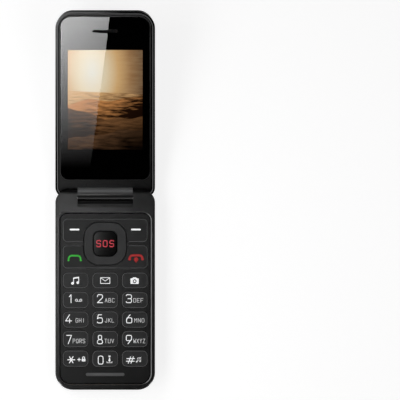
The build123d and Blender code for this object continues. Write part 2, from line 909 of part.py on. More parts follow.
with BuildPart() as usb_socket:
    shell_across = usb_width + 2 * usb_shell
    shell_high = usb_height + 2 * usb_shell
    shell_corner = usb_corner + usb_shell
    side_block(mouth_x, -usb_depth - usb_back, usb_y, usb_z, shell_across, shell_high, shell_corner)
    side_block(
        mouth_x, -usb_depth, usb_y, usb_z, usb_width, usb_height, usb_corner, Mode.SUBTRACT
    )
    with BuildSketch(Plane.YZ.offset(mouth_x - usb_depth)) as tongue:
        with Locations((usb_y, usb_z + usb_tongue_rise)):
            Rectangle(usb_width - usb_tongue_in, usb_tongue_thickness)
    extrude(tongue.sketch, amount=usb_depth - usb_tongue_short)
    slab(
        box_outline(width / 2 - usb_block_in, usb_y, usb_block_length, usb_block_width),
        usb_z + usb_height / 2,
        board_height,
    )
keep(usb_socket, "usb_socket")

with BuildPart() as base_screws:
    for x, y in post_places:
        slab(disc(x, y, screw_head), screw_seat - screw_head_height, screw_seat)
        slab(disc(x, y, screw_radius), screw_seat, screw_end)
        for across, along in (
            (4 / 3 * screw_head, screw_slot),
            (screw_slot, 4 / 3 * screw_head),
        ):
            slab(
                box_outline(x, y, across, along),
                screw_seat - screw_head_height,
                screw_seat - screw_head_height / 2,
                Mode.SUBTRACT,
            )
keep(base_screws, "base_screws")

# ---------------------------------------------------------------- hinge
sweep_radius = sqrt(barrel_radius**2 + lid_face**2)
cove_radius = sweep_radius + sweep_gap
cradle_front = hinge_y - cradle_back + cradle_gap
cradle_top = base_thickness - cradle_drop
cove_low = hinge_z - sqrt(cove_radius**2 - (hinge_y - rear_end) ** 2)

with BuildPart() as hinge_cradle:
    with BuildSketch(Plane.YZ):
        with BuildLine():
            Polyline(
                (rear_end, cove_low),
                (rear_end, split_height),
                (cradle_front, split_height),
                (cradle_front, cradle_top),
                (cradle_front + cradle_land, cradle_top),
                (hinge_y - cove_radius, hinge_z),
            )
            RadiusArc((hinge_y - cove_radius, hinge_z), (rear_end, cove_low), -cove_radius)
        make_face()
    extrude(amount=barrel_slot - cradle_side_gap, both=True)
keep(hinge_cradle, "hinge_cradle")


def along_axis(radius, start, end, mode=Mode.ADD):
    """A cylinder on the hinge axis between two X values."""
    side_bore(start, end - start, hinge_y, hinge_z, radius, mode)


cam_start = -barrel_half + cam_inset
cam_end = cam_start + cam_length
shaft_end = cam_start + shaft_hold
pin_start = barrel_half - pin_hold
pin_end = barrel_slot + ear_bore - pin_end_gap

with BuildPart() as cam_hinge_case:
    along_axis(cam_radius, cam_start, cam_end)
    along_axis(pin_radius + running_gap, cam_start, shaft_end + pin_end_gap, Mode.SUBTRACT)
keep(cam_hinge_case, "cam_hinge_case")

with BuildPart() as cam_hinge_shaft:
    along_axis(pin_radius, -pin_end, shaft_end)
keep(cam_hinge_shaft, "cam_hinge_shaft")

with BuildPart() as hinge_pin:
    along_axis(pin_radius, pin_start, pin_end)
    along_axis(pin_bore, pin_start, pin_end, Mode.SUBTRACT)
keep(hinge_pin, "hinge_pin")

# ---------------------------------------------------------------- lid
lid_axis = Axis(lid_origin, lid_frame.z_dir)
rim_level = lid_face - rim_step
plate_low = lid_face - face_plate
pocket_floor = lid_face - window_drop - window_thickness
skirt_low = plate_low - lcd_thickness
lid_floor = lid_back + wall
housing_inset = rim_show + piece_gap


def lid_under(height):
    """The lid's plane at a height, seen from its outer side, so that extrusions go outwards."""
    z_dir = (0, sin(tilt), -cos(tilt))
    return Plane(origin=lid_level(height).origin, x_dir=(-1, 0, 0), z_dir=z_dir)


def lid_plan(inset):
    """The lid's outline at its inner face, inset."""
    return plate(
        -lid_heel + inset,
        lid_reach - inset,
        width - 2 * inset,
        heel_corner - inset,
        lid_corner - inset,
    )


def lid_tub(inset, top, bottom, edge_radius=0):
    """The lid's shape between two heights, with its sides leaning in, as a separate solid."""
    with BuildPart(mode=Mode.PRIVATE) as tub:
        with BuildSketch(lid_under(top)):
            add(lid_plan(inset))
        extrude(amount=top - bottom, taper=lid_taper)
        if edge_radius:
            fillet(tub.edges().group_by(lid_axis)[0], edge_radius)
    return tub.part


def lid_box(x, u, across, along, low, high, mode=Mode.ADD):
    """A block inside the lid."""
    lid_slab(box_outline(x, u, across, along), low, high, mode)


def lid_disc(x, u, radius, low, high, mode=Mode.ADD):
    """A round post or hole in the lid."""
    lid_slab(disc(x, u, radius), low, high, mode)


def window_plan(spread):
    """The outline of the window, spread outwards."""
    return plate(
        window_low - spread,
        window_high + spread,
        window_width + 2 * spread,
        window_corner_low + spread,
        window_corner_high + spread,
    )


def display_plan(spread, radius):
    """The outline of the lit area, spread outwards."""
    return plate(
        display_low - spread, display_high + spread, display_width + 2 * spread, radius, radius
    )


def status_plan(inset):
    """The outline of the status window's trim, inset."""
    radius = status_corner - inset
    return round_plate(0, status_u, status_width - 2 * inset, status_length - 2 * inset, radius)


lid_post_places = [
    (side * (width / 2 - lid_post_in), u)
    for side in (-1, 1)
    for u in (lid_post_low, lid_reach - lid_post_end)
]
status_u = status_from_heel - lid_heel

with BuildPart() as lid_outer_cover:
    add(lid_tub(0, rim_level, lid_back, lid_edge))
    add(lid_tub(rim_show, rim_level, lid_floor, lid_edge - wall + slide_gap), mode=Mode.SUBTRACT)
    for x, u in lid_post_places:
        lid_disc(x, u, lid_post_radius, lid_floor - lid_post_root, plate_low)
        lid_disc(x, u, screw_radius, lid_floor + lid_post_root, plate_low, Mode.SUBTRACT)
    lid_slab(status_plan(-fit_gap), lid_back - wall, lid_back + status_seat, Mode.SUBTRACT)
    lid_slab(status_plan(status_light_in), lid_back, lid_floor, Mode.SUBTRACT)
keep(lid_outer_cover, "lid_outer_cover")

with BuildPart() as lid_inner_housing:
    lid_slab(lid_plan(housing_inset), rim_level, lid_face)
    chamfer(edges().group_by(lid_axis)[-1], face_chamfer)
    add(lid_tub(housing_inset, rim_level, skirt_low))
    add(lid_tub(housing_inset + lid_skin, plate_low, skirt_low), mode=Mode.SUBTRACT)
    lid_slab(
        lid_plan(face_groove_in) - lid_plan(face_groove_in + face_groove),
        lid_face - face_groove_depth,
        lid_face,
        Mode.SUBTRACT,
    )
    lid_slab(window_plan(piece_gap), pocket_floor, lid_face, Mode.SUBTRACT)
    lid_slab(display_plan(view_gap, view_corner), plate_low, pocket_floor, Mode.SUBTRACT)
    lid_box(
        0, receiver_at, slot_length - 2 * slot_ledge, slot_width, plate_low, pocket_floor, Mode.SUBTRACT
    )
    for x, u in lid_post_places:
        lid_disc(x, u, screw_radius + piece_gap, plate_low, pocket_floor, Mode.SUBTRACT)
        lid_disc(x, u, screw_head + piece_gap, plate_low + lid_screw_seat, pocket_floor, Mode.SUBTRACT)
    # The barrel on its foot, which turns between the base's ears
    lid_box(0, 0, 2 * barrel_half, 2 * barrel_radius, rim_level + piece_gap, 0)
    along_axis(barrel_radius, -barrel_half, barrel_half)
    along_axis(cam_radius, -barrel_half, cam_end, Mode.SUBTRACT)
    along_axis(pin_radius, pin_start, barrel_half, Mode.SUBTRACT)
    along_axis(pin_bore, pin_start - cable_way, pin_start, Mode.SUBTRACT)
    lid_disc(pin_start - cable_drop, 0, pin_bore, plate_low, 0, Mode.SUBTRACT)
keep(lid_inner_housing, "lid_inner_housing")

with BuildPart() as display_window:
    lid_slab(window_plan(0), pocket_floor, pocket_floor + window_thickness)
    lid_slab(
        round_plate(0, receiver_at, slot_length, slot_width, slot_width / 2.05),
        pocket_floor,
        lid_face,
        Mode.SUBTRACT,
    )
keep(display_window, "display_window")

with BuildPart() as earpiece_grille:
    lid_slab(
        round_plate(
            0,
            receiver_at,
            slot_length - 2 * fit_gap,
            slot_width - 2 * fit_gap,
            (slot_width - 2 * fit_gap) / 2.05,
        ),
        pocket_floor,
        pocket_floor + window_thickness - mesh_drop,
    )
    for hole in range(mesh_columns):
        for row in (-1, 1):
            lid_disc(
                (hole - mesh_columns // 2) * mesh_pitch,
                receiver_at + row * mesh_row,
                mesh_hole,
                pocket_floor,
                lid_face,
                Mode.SUBTRACT,
            )
keep(earpiece_grille, "earpiece_grille")

with BuildPart() as earpiece_receiver:
    lid_slab(
        round_plate(0, receiver_at, receiver_width, receiver_length, receiver_corner),
        skirt_low - receiver_low,
        plate_low,
    )
keep(earpiece_receiver, "earpiece_receiver")

with BuildPart() as display_module:
    lid_slab(
        plate(
            display_low - lcd_tail,
            display_high + lcd_border,
            display_width + 2 * lcd_border,
            view_corner,
            view_corner,
        ),
        skirt_low,
        plate_low,
    )
    lid_slab(display_plan(display_glass, view_corner / 2), plate_low, pocket_floor - fit_gap)
keep(display_module, "display_module")

lid_board_top = skirt_low - piece_gap
lid_board_low = lid_board_top - lid_board_thickness
with BuildPart() as lid_board:
    lid_slab(
        plate(
            lid_board_low_end,
            lid_reach - lid_board_high_end,
            width - 2 * lid_board_margin,
            lid_board_corner,
            lid_board_corner,
        ),
        lid_board_low,
        lid_board_top,
    )
    lid_box(
        0,
        lid_board_notch_at,
        lid_board_notch,
        lid_board_notch_depth,
        lid_board_low,
        lid_board_top,
        Mode.SUBTRACT,
    )
    for x, u in lid_post_places:
        lid_disc(
            x, u, lid_post_radius + 3 * piece_gap, lid_board_low, lid_board_top, Mode.SUBTRACT
        )
keep(lid_board, "lid_board")

with BuildPart() as lid_magnet:
    lid_box(
        -(width / 2 - magnet_in),
        lid_reach - magnet_end,
        magnet_width,
        magnet_length,
        plate_low - magnet_thickness,
        plate_low,
    )
keep(lid_magnet, "lid_magnet")

with BuildPart() as status_window:
    lid_slab(status_plan(status_trim_width + fit_gap), lid_back + fit_gap, lid_back + status_seat)
keep(status_window, "status_window")

with BuildPart() as status_trim:
    lid_slab(
        status_plan(0) - status_plan(status_trim_width),
        lid_back - status_trim_proud,
        lid_back + status_seat,
    )
    fillet(edges().group_by(lid_axis)[0], status_trim_edge)
keep(status_trim, "status_trim")

mask_top = lid_floor + status_mask_thickness
guide_low = lid_floor - (lid_floor - lid_back - status_seat) + fit_gap
guide_top = lid_board_low - led_height
icon_places = [status_u + step * icon_pitch for step in (-1, 0, 1)]
with BuildPart() as status_mask:
    lid_slab(status_plan(status_mask_in), lid_floor, mask_top)
    for u in icon_places:
        lid_box(0, u, icon_width, icon_length, lid_floor, mask_top, Mode.SUBTRACT)
keep(status_mask, "status_mask")

with BuildPart() as status_light_guides:
    for u in icon_places:
        lid_box(0, u, icon_width - guide_gap, icon_length - guide_gap, guide_low, guide_top)
keep(status_light_guides, "status_light_guides")

with BuildPart() as status_leds:
    for u in icon_places:
        lid_box(0, u, led_width, led_length, guide_top, lid_board_low)
keep(status_leds, "status_leds")

with BuildPart() as lid_screws:
    for x, u in lid_post_places:
        lid_disc(x, u, screw_head, plate_low + lid_screw_seat, pocket_floor - fit_gap)
        lid_disc(x, u, screw_radius, lid_floor + 2 * lid_post_root, plate_low + lid_screw_seat)
keep(lid_screws, "lid_screws")
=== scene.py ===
import json
from math import cos, pi, radians, sin

import bmesh
import bpy
from mathutils import Matrix, Vector


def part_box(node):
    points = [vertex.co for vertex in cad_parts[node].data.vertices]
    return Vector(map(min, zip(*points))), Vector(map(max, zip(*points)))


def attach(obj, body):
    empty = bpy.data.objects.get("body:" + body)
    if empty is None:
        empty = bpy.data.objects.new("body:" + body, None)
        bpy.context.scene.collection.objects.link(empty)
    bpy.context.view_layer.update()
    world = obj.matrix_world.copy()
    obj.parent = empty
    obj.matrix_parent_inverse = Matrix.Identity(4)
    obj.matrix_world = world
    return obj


# Flip phone, open and lying on its back. Lengths in the drawing helpers are in millimetres.
MM = 0.001
sides = ((-1, "left"), (1, "right"))

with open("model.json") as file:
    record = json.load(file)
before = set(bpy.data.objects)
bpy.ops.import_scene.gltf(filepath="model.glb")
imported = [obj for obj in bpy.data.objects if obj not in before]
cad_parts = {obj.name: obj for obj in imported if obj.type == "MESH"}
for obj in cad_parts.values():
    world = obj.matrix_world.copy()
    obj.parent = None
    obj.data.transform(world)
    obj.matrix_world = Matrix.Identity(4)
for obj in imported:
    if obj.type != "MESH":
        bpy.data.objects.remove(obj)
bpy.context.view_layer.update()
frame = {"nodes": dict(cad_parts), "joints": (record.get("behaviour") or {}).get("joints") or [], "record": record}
nodes = frame["nodes"]
scene = bpy.context.scene
scene.view_settings.view_transform = "Standard"

fold = next(joint for joint in frame["joints"] if joint["name"] == "lid_fold")
hinge = Vector(fold["pos_m"])
tilt = radians(180 - fold["range_deg"][1])
lid_up = Vector((0, -sin(tilt), cos(tilt)))  # out of the lid's window
# The lid's own frame: from the hinge axis, Y along the lid and Z out of its window
LID = Matrix.Translation(hinge) @ Matrix.Rotation(tilt, 4, "X")


def mm_box(node):
    """A CAD node's box in millimetres: lowest and highest corner."""
    low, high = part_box(node)
    return low / MM, high / MM


# ---------------------------------------------------------------- node helpers
class Nodes:
    """The node tree of a material or of the world."""

    def __init__(self, owner):
        owner.use_nodes = True
        self.tree = owner.node_tree
        self.tree.nodes.clear()

    def add(self, kind, **options):
        """A new node with some options."""
        node = self.tree.nodes.new(kind)
        for key, value in options.items():
            setattr(node, key, value)
        return node

    def feed(self, socket, value):
        """Gives a socket a value, or another node's output."""
        if isinstance(value, bpy.types.NodeSocket):
            self.tree.links.new(value, socket)
        else:
            socket.default_value = value

    def span(self, value, low, high, from_low=0.3, from_high=0.7):
        """Maps a value from one range to another, and stops at its ends."""
        node = self.add("ShaderNodeMapRange", clamp=True)
        self.feed(node.inputs["Value"], value)
        for socket, number in (
            ("From Min", from_low),
            ("From Max", from_high),
            ("To Min", low),
            ("To Max", high),
        ):
            node.inputs[socket].default_value = number
        return node.outputs[0]

    def math(self, operation, *values):
        """One of Blender's math operations on numbers and outputs."""
        node = self.add("ShaderNodeMath", operation=operation)
        for socket, value in zip(node.inputs, values):
            self.feed(socket, value)
        return node.outputs[0]

    def vector_math(self, operation, first, second):
        """One of Blender's operations on two vectors."""
        node = self.add("ShaderNodeVectorMath", operation=operation)
        self.feed(node.inputs[0], first)
        self.feed(node.inputs[1], second)
        return node.outputs["Value" if operation == "DOT_PRODUCT" else "Vector"]

    def split(self, vector):
        """A vector's X, Y and Z."""
        node = self.add("ShaderNodeSeparateXYZ")
        self.feed(node.inputs[0], vector)
        return node.outputs[:]


class Shader(Nodes):
    """A node material with a Principled surface."""

    def __init__(self, name, colour, roughness, metallic=0.0):
        self.material = bpy.data.materials.new(name)
        super().__init__(self.material)
        output = self.add("ShaderNodeOutputMaterial")
        self.surface = self.add("ShaderNodeBsdfPrincipled")
        self.feed(output.inputs["Surface"], self.surface.outputs[0])
        self.set("Base Color", (*colour, 1))
        self.set("Roughness", roughness)
        self.set("Metallic", metallic)
        coordinates = self.add("ShaderNodeTexCoord")
        self.space = coordinates.outputs["Object"]
        self.normal = coordinates.outputs["Normal"]

    def set(self, socket, value):
        """A value or another node's output on one of the surface's sockets."""
        self.feed(self.surface.inputs[socket], value)

    def noise(self, size, detail=2.0, stretch=(1, 1, 1), turn=0.0):
        """Noise with features of a size in millimetres, from 0 to 1."""
        mapping = self.add("ShaderNodeMapping")
        mapping.inputs["Scale"].default_value = stretch
        mapping.inputs["Rotation"].default_value = (0, 0, turn)
        self.feed(mapping.inputs["Vector"], self.space)
        texture = self.add("ShaderNodeTexNoise")
        texture.inputs["Scale"].default_value = 1 / (size * MM)
        texture.inputs["Detail"].default_value = detail
        self.feed(texture.inputs["Vector"], mapping.outputs[0])
        return texture.outputs["Fac"]

    def blend(self, factor, first, second, mode="MIX"):
        """Mixes two colours, each a tuple or an output."""
        node = self.add("ShaderNodeMix", data_type="RGBA", blend_type=mode)
        self.feed(node.inputs[0], factor)
        for socket, colour in ((6, first), (7, second)):
            is_output = isinstance(colour, bpy.types.NodeSocket)
            self.feed(node.inputs[socket], colour if is_output else (*colour, 1))
        return node.outputs[2]

    def clouds(self, dark, light):
        """A faint, cloudy mix of two colours."""
        cloud_size = 9
        return self.blend(self.span(self.noise(cloud_size, 3), 0, 1), dark, light)

    def ramp(self, value, *stops):
        """A colour ramp, each stop a place and a colour."""
        node = self.add("ShaderNodeValToRGB")
        elements = node.color_ramp.elements
        while len(elements) < len(stops):
            elements.new(0.5)
        for element, (place, _) in zip(elements, stops):
            element.position = place
        for element, (_, colour) in zip(elements, stops):
            element.color = (*colour, 1)
        self.feed(node.inputs["Fac"], value)
        return node.outputs["Color"]

    def grey_of(self, value):
        """A number as a grey colour."""
        node = self.add("ShaderNodeCombineXYZ")
        for socket in node.inputs:
            self.feed(socket, value)
        return node.outputs[0]

    def turned(self, direction, full, none):
        """0 where the surface faces a direction, and 1 where it turns away from it."""
        return self.span(self.vector_math("DOT_PRODUCT", self.normal, direction), 1, 0, full, none)

    def vary(self, texture, smooth, rough):
        """Roughness between two values, by a texture."""
        self.set("Roughness", self.span(texture, smooth, rough))

    def bump(self, height, depth, strength):
        """Bump of a depth in millimetres."""
        node = self.add("ShaderNodeBump")
        node.inputs["Strength"].default_value = strength
        node.inputs["Distance"].default_value = depth * MM
        self.feed(node.inputs["Height"], height)
        self.set("Normal", node.outputs[0])

    def grain(self, size, depth, smooth, rough):
        """The fine grain of a spark-eroded mould, as roughness and relief."""
        fine = self.noise(size, 2)
        self.vary(fine, smooth, rough)
        self.bump(fine, depth, 0.6)


def grey(level):
    """The linear colour that shows as a grey level from 0 to 255."""
    linear = ((level / 255 + 0.055) / 1.055) ** 2.4
    return (linear, linear * 1.01, linear * 1.02)


def srgb(red, green, blue):
    """The linear colour of a screen colour."""
    return tuple(((value / 255 + 0.055) / 1.055) ** 2.4 for value in (red, green, blue))


# ---------------------------------------------------------------- materials
def moulding(name, level, roughness, grain=0.25, depth=0.006, painted_edge=None, clear_of=None):
    """Moulded plastic with a fine grain and faint clouds, and another level on rounded edges: a painted highlight
    where it is paler, painted shade where it is darker.

    Edges near a node that is given are painted black, as shade in the gap round it.
    """
    shader = Shader(name, grey(level), roughness)
    colour = shader.clouds(grey(level * 0.93), grey(level * 1.07))
    if painted_edge:
        painted_edge_colour = grey(painted_edge)
        if clear_of:
            # Painted shade: rounded edges close to the given node are black.
            painted_edge_colour = shader.blend(away_from(shader, clear_of), grey(3), painted_edge_colour)
        # Painted light and shade: faces turned away from straight up take the edge level.
        colour = shader.blend(shader.turned((0, 0, 1), 0.3, 0.985), colour, painted_edge_colour)
    shader.set("Base Color", colour)
    shader.grain(grain, depth, roughness - 0.05, roughness + 0.05)
    return shader


def away_from(shader, node):
    """0 over a square node with rounded corners and just round it, and 1 farther off."""
    low, high = mm_box(node)
    middle, reach = (low + high) / 2, (high.x - low.x) / 2
    roundness = 4.0  # 2 is a circle, and a high number is a square
    clear_from, clear_to = 1.1, 1.12  # from the node's middle, its half width being 1
    total = 0.0
    for along, centre in zip(shader.split(shader.space), middle[:2]):
        offset = shader.math("SUBTRACT", along, centre * MM)
        share = shader.math("ABSOLUTE", shader.math("DIVIDE", offset, reach * MM))
        total = shader.math("ADD", total, shader.math("POWER", share, roundness))
    distance = shader.math("POWER", total, 1 / roundness)
    return shader.span(distance, 0, 1, clear_from, clear_to)


keypad = moulding("keypad", 6, 0.44, grain=0.2, depth=0.004)
keypad.set("Specular IOR Level", 0.36)
# Edge levels paint light and shade on rounded edges: the paler ones of the bar, keys and plates are painted
# highlights, the ring's dark ones are painted shade, and the plates' edges round the nav ring are painted black as
# shade.
bar_face = moulding("bar", 85, 0.45, grain=0.2, painted_edge=90)
rubber = moulding("rubber", 130, 0.6, grain=0.3, depth=0.01)
inner = moulding("inner_plastic", 20, 0.5, grain=0.3)
key_face = moulding("keys", 46, 0.55, grain=0.16, depth=0.004, painted_edge=175)
plate_face = moulding(
    "plates", 38, 0.55, grain=0.16, depth=0.004, painted_edge=170, clear_of="nav_ring"
)
ring_face = moulding("ring", 54, 0.55, grain=0.16, depth=0.004, painted_edge=5)
for soft in (key_face, plate_face, ring_face):
    soft.set("Specular IOR Level", 0.25)


def housing_shader():
    """Satin housing with painted light and shade: the outer rounding painted dark as shade, the slope round the
    keypad painted pale and metallic as a highlight lit by the walls it mirrors, and the ledge below it painted
    black as shade.
    """
    slope_out = 1.0  # the keypad panel's edge to the slope's outer edge, and a little more
    slope_low = 0.25  # below the panel's top: the slope's lower end, where the ledge starts
    s = Shader("housing", grey(24), 0.33)
    x, y, z = s.split(s.space)
    low, high = mm_box("keypad_panel")
    middle, half = (low.y + high.y) / 2, (high.y - low.y) / 2
    across = s.math("SUBTRACT", s.math("ABSOLUTE", x), high.x * MM)
    along = s.math("ABSOLUTE", s.math("SUBTRACT", y, middle * MM))
    beyond = s.math("MAXIMUM", across, s.math("SUBTRACT", along, half * MM))
    inside = s.span(beyond, 1, 0, slope_out * MM, (slope_out + 0.1) * MM)
    ledge_top = high.z - slope_low
    # Painted shade: below the slope round the keypad, the ledge is black.
    recess_shade = s.math("MULTIPLY", s.span(z, 1, 0, ledge_top * MM, (ledge_top + 0.05) * MM), inside)
    # Painted light and shade: grey(5) on the outer rounding and grey(2) on the ledge are shade, and grey(200) on
    # the slope is a highlight.
    painted_edge = s.blend(recess_shade, s.blend(inside, grey(5), grey(200)), grey(2))
    painted_edge_zone = s.math("MAXIMUM", s.turned((0, 0, 1), 0.75, 0.98), recess_shade)
    s.set("Base Color", s.blend(painted_edge_zone, s.clouds(grey(12), grey(15)), painted_edge))
    # The slope and the ledge are metallic: the pale slope mirrors the walls as a highlight, and the black ledge
    # reflects almost nothing.
    s.set("Metallic", s.math("MULTIPLY", painted_edge_zone, inside))
    s.set("Specular IOR Level", 0.5)
    s.grain(0.25, 0.004, 0.29, 0.37)
    return s


def lid_shader():
    """The lid's inner housing: chamfers painted pale as highlights, groove and heel painted black as shade, satin
    in between.
    """
    groove_low, groove_high = -2.75, -2.6  # heights in the lid's frame where the groove darkens
    s = Shader("lid_moulding", grey(5), 0.25)
    height = s.vector_math("DOT_PRODUCT", s.space, lid_up)
    height = s.math("SUBTRACT", height, hinge.dot(lid_up))
    # Painted shade: flat faces below the groove height are painted black, and made metallic so that they reflect
    # almost nothing.
    recess_shade = s.span(height, 1, 0, groove_low * MM, groove_high * MM)
    flat = s.math("SUBTRACT", 1.0, s.turned(lid_up, 0.9, 0.99))
    groove_shade = s.math("MULTIPLY", recess_shade, flat)
    # Painted highlight: chamfers and other faces turned away from the lid's face are pale.
    colour = s.blend(s.turned(lid_up, 0.6, 0.97), s.clouds(grey(4), grey(6)), grey(118))
    s.set("Base Color", s.blend(groove_shade, colour, grey(2)))
    s.set("Metallic", groove_shade)
    s.set("Specular IOR Level", 0.5)
    s.grain(0.25, 0.004, 0.27, 0.33)
    return s


housing = housing_shader()
lid_moulding = lid_shader()

piano = Shader("gloss_cover", grey(42), 0.15, 1.0)
piano.vary(piano.noise(14, 4), 0.1, 0.18)
piano.set("Specular Tint", (0.15, 0.15, 0.15, 1))
piano.bump(piano.noise(6, 2), 0.004, 0.2)


def sos_shader():
    """Gloss on a key whose face swells towards its top left corner."""
    crest = Vector((-6, 7, 0))  # from the key's middle
    swell_across, swell_along = 0.056, 0.058
    s = Shader("sos", grey(3), 0.24)
    s.vary(s.noise(5, 3), 0.22, 0.26)
    low, high = mm_box("sos_key")
    offset = s.vector_math("SUBTRACT", s.space, ((low + high) / 2 + crest) * MM)
    offset = s.vector_math("MULTIPLY", offset, (swell_across / MM, swell_along / MM, 0))
    drop = s.vector_math("DOT_PRODUCT", offset, offset)
    s.bump(s.math("MULTIPLY", drop, -1.0), 1, 1.0)
    s.set("Specular IOR Level", 0.15)
    return s


sos_face = sos_shader()

glass = Shader("window_glass", (0.96, 0.97, 0.98), 0.0)
glass.set("Transmission Weight", 1.0)
glass.set("IOR", 1.5)

mask_ink = Shader("window_mask", (0.0008, 0.0008, 0.0009), 0.6)
mask_ink.set("Specular IOR Level", 0.0)
mask_ink.set(
    "Base Color",
    mask_ink.blend(mask_ink.noise(0.4, 2), (0.0004, 0.0004, 0.0005), (0.0012, 0.0012, 0.0013)),
)


def brushed(name, colour, metallic, size, stretch, smooth, rough, depth=0.003, strength=0.4):
    """Metal or foil with fine lines along one axis."""
    shader = Shader(name, colour, 0.3, metallic)
    lines = shader.noise(size, 3, stretch)
    shader.vary(lines, smooth, rough)
    shader.bump(lines, depth, strength)
    return shader


trim = brushed("trim", (0.09, 0.09, 0.095), 1.0, 0.25, (1, 0.05, 1), 0.22, 0.36)
steel = brushed("steel", (0.62, 0.61, 0.6), 1.0, 0.3, (0.05, 1, 1), 0.24, 0.4)
cell = brushed("battery", grey(60), 0.6, 0.6, (1, 0.1, 1), 0.25, 0.4, 0.004, 0.3)
dark_steel = Shader("dark_steel", (0.05, 0.05, 0.05), 0.4, 1.0)
dark_steel.vary(dark_steel.noise(0.3, 3), 0.35, 0.5)

board = Shader("board", (0.012, 0.085, 0.03), 0.35)
copper = board.span(board.noise(2.5, 5), 0, 1, 0.45, 0.55)
board.set("Base Color", board.blend(copper, (0.01, 0.07, 0.025), (0.02, 0.12, 0.045)))
board.vary(board.noise(1, 2), 0.3, 0.42)

grille = Shader("grille", grey(3), 0.5)
grille.set("Specular IOR Level", 0.1)
grille.vary(grille.noise(0.2, 2), 0.45, 0.6)
guide = Shader("light_guide", (0.75, 0.75, 0.72), 0.25)
guide.vary(guide.noise(1, 2), 0.2, 0.3)
guide.set("Transmission Weight", 0.6)
led = Shader("led", (0.85, 0.83, 0.7), 0.25)
led.vary(led.noise(0.5, 2), 0.2, 0.35)

slot_shaders = {
    "housing": housing,
    "keypad": keypad,
    "bar": bar_face,
    "keys": key_face,
    "sos": sos_face,
    "gloss_cover": piano,
    "window": glass,
    "display": inner,
    "trim": trim,
    "rubber": rubber,
    "board": board,
    "steel": steel,
    "battery": cell,
    "inner_plastic": inner,
    "grille": grille,
    "light_guide": guide,
    "led": led,
}
# Nodes that look different from the rest of their slot
own_shaders = {
    "lid_inner_housing": lid_moulding,
    "hinge_cradle": inner,
    "hinge_pin": dark_steel,
    "cam_hinge_shaft": dark_steel,
    "nav_ring": ring_face,
    "soft_key_rocker": plate_face,
    "call_key_rocker": plate_face,
}
for part in frame["record"]["subparts"]:
    materials = nodes[part["node"]].data.materials
    shader = own_shaders.get(part["node"], slot_shaders[part["material_slot"]])
    materials.clear()
    materials.append(shader.material)

# ---------------------------------------------------------------- drawing helpers
# Half the thickness of each printed shape or line, in millimetres
shape_half, line_half = 0.02, 0.028


def mesh_of(curve):
    """The mesh of a curve."""
    maker = bpy.data.objects.new("maker", curve)
    scene.collection.objects.link(maker)
    bpy.context.view_layer.update()
    made = bpy.data.meshes.new_from_object(
        maker.evaluated_get(bpy.context.evaluated_depsgraph_get())
    )
    bpy.data.objects.remove(maker)
    bpy.data.curves.remove(curve)
    return made


def add_spline(curve, points):
    """Adds straight runs from point to point to a curve."""
    spline = curve.splines.new("POLY")
    spline.points.add(len(points) - 1)
    for point, (x, y) in zip(spline.points, points):
        point.co = (x, y, 0, 1)
    return spline


def fill(outer, *holes, half=shape_half):
    """A flat prism over an outline, with holes."""
    curve = bpy.data.curves.new("shape", "CURVE")
    curve.dimensions = "2D"
    curve.fill_mode = "BOTH"
    curve.extrude = half
    for loop in (outer, *holes):
        add_spline(curve, loop).use_cyclic_u = True
    return mesh_of(curve)


def bent(points, steps=3):
    """A smooth path that starts and ends on its end points and rounds off the ones between."""
    path = [Vector(points[0])]
    last = len(points) - 1
    for k in range(1, last):
        here = Vector(points[k])
        start = Vector(points[0]) if k == 1 else (Vector(points[k - 1]) + here) / 2
        end = Vector(points[last]) if k == last - 1 else (here + Vector(points[k + 1])) / 2
        for step in range(1, steps + 1):
            t = step / steps
            path.append(start * (1 - t) ** 2 + here * 2 * t * (1 - t) + end * t**2)
    if last == 1:
        path.append(Vector(points[1]))
    return path


def trace(paths, thickness):
    """Lines of a thickness along paths, as flattened tubes with round ends."""
    radius = thickness / 2
    curve = bpy.data.curves.new("line", "CURVE")
    curve.dimensions = "3D"
    curve.bevel_depth = radius
    curve.bevel_resolution = 2
    for path in paths:
        add_spline(curve, path)
    tubes = mesh_of(curve)
    ends = bmesh.new()
    for x, y in {tuple(path[end]) for path in paths for end in (0, -1)}:
        place = Matrix.Translation((x, y, 0))
        bmesh.ops.create_uvsphere(ends, u_segments=12, v_segments=6, radius=radius, matrix=place)
    balls = bpy.data.meshes.new("ends")
    ends.to_mesh(balls)
    ends.free()
    for mesh in (tubes, balls):
        for vertex in mesh.vertices:
            vertex.co.z *= line_half / radius
    return [tubes, balls]


def joined(points, thickness):
    """Straight lines from point to point."""
    return trace(list(zip(points, points[1:])), thickness)


def line(points, thickness):
    """A bent line, with a corner where a point is given twice."""
    return trace(runs_of(points), thickness)


def runs_of(points):
    """Splits a line's points where one is given twice, and bends each run."""
    runs = [[points[0]]]
    for before, point in zip(points, points[1:]):
        if point == before:
            runs.append([point])
        else:
            runs[-1].append(point)
    return [bent(run) for run in runs if len(run) > 1]


def round_box(x, y, across, along, radius, steps=5):
    """The outline of a rounded rectangle about a point."""
    loop = []
    for turn, (sx, sy) in enumerate(((1, 1), (-1, 1), (-1, -1), (1, -1))):
        cx, cy = x + sx * (across / 2 - radius), y + sy * (along / 2 - radius)
        for step in range(steps + 1):
            angle = pi / 2 * (turn + step / steps)
            loop.append((cx + radius * cos(angle), cy + radius * sin(angle)))
    return loop


def ring(x, y, radius, steps=20):
    """The outline of a circle."""
    turns = [2 * pi * k / steps for k in range(steps)]
    return [(x + radius * cos(turn), y + radius * sin(turn)) for turn in turns]


def piece(name, body, meshes, shader, matrix, height=0.0):
    """Joins meshes drawn in millimetres into one piece that rides on a body."""
    whole = bmesh.new()
    for mesh in meshes:
        whole.from_mesh(mesh)
        bpy.data.meshes.remove(mesh)
    bmesh.ops.recalc_face_normals(whole, faces=whole.faces)
    data = bpy.data.meshes.new(name)
    whole.transform(Matrix.Translation((0, 0, height)))
    whole.transform(Matrix.Scale(MM, 4))
    whole.to_mesh(data)
    whole.free()
    data.materials.append(shader.material)
    made = bpy.data.objects.new(name, data)
    made.matrix_world = matrix
    scene.collection.objects.link(made)
    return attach(made, body)


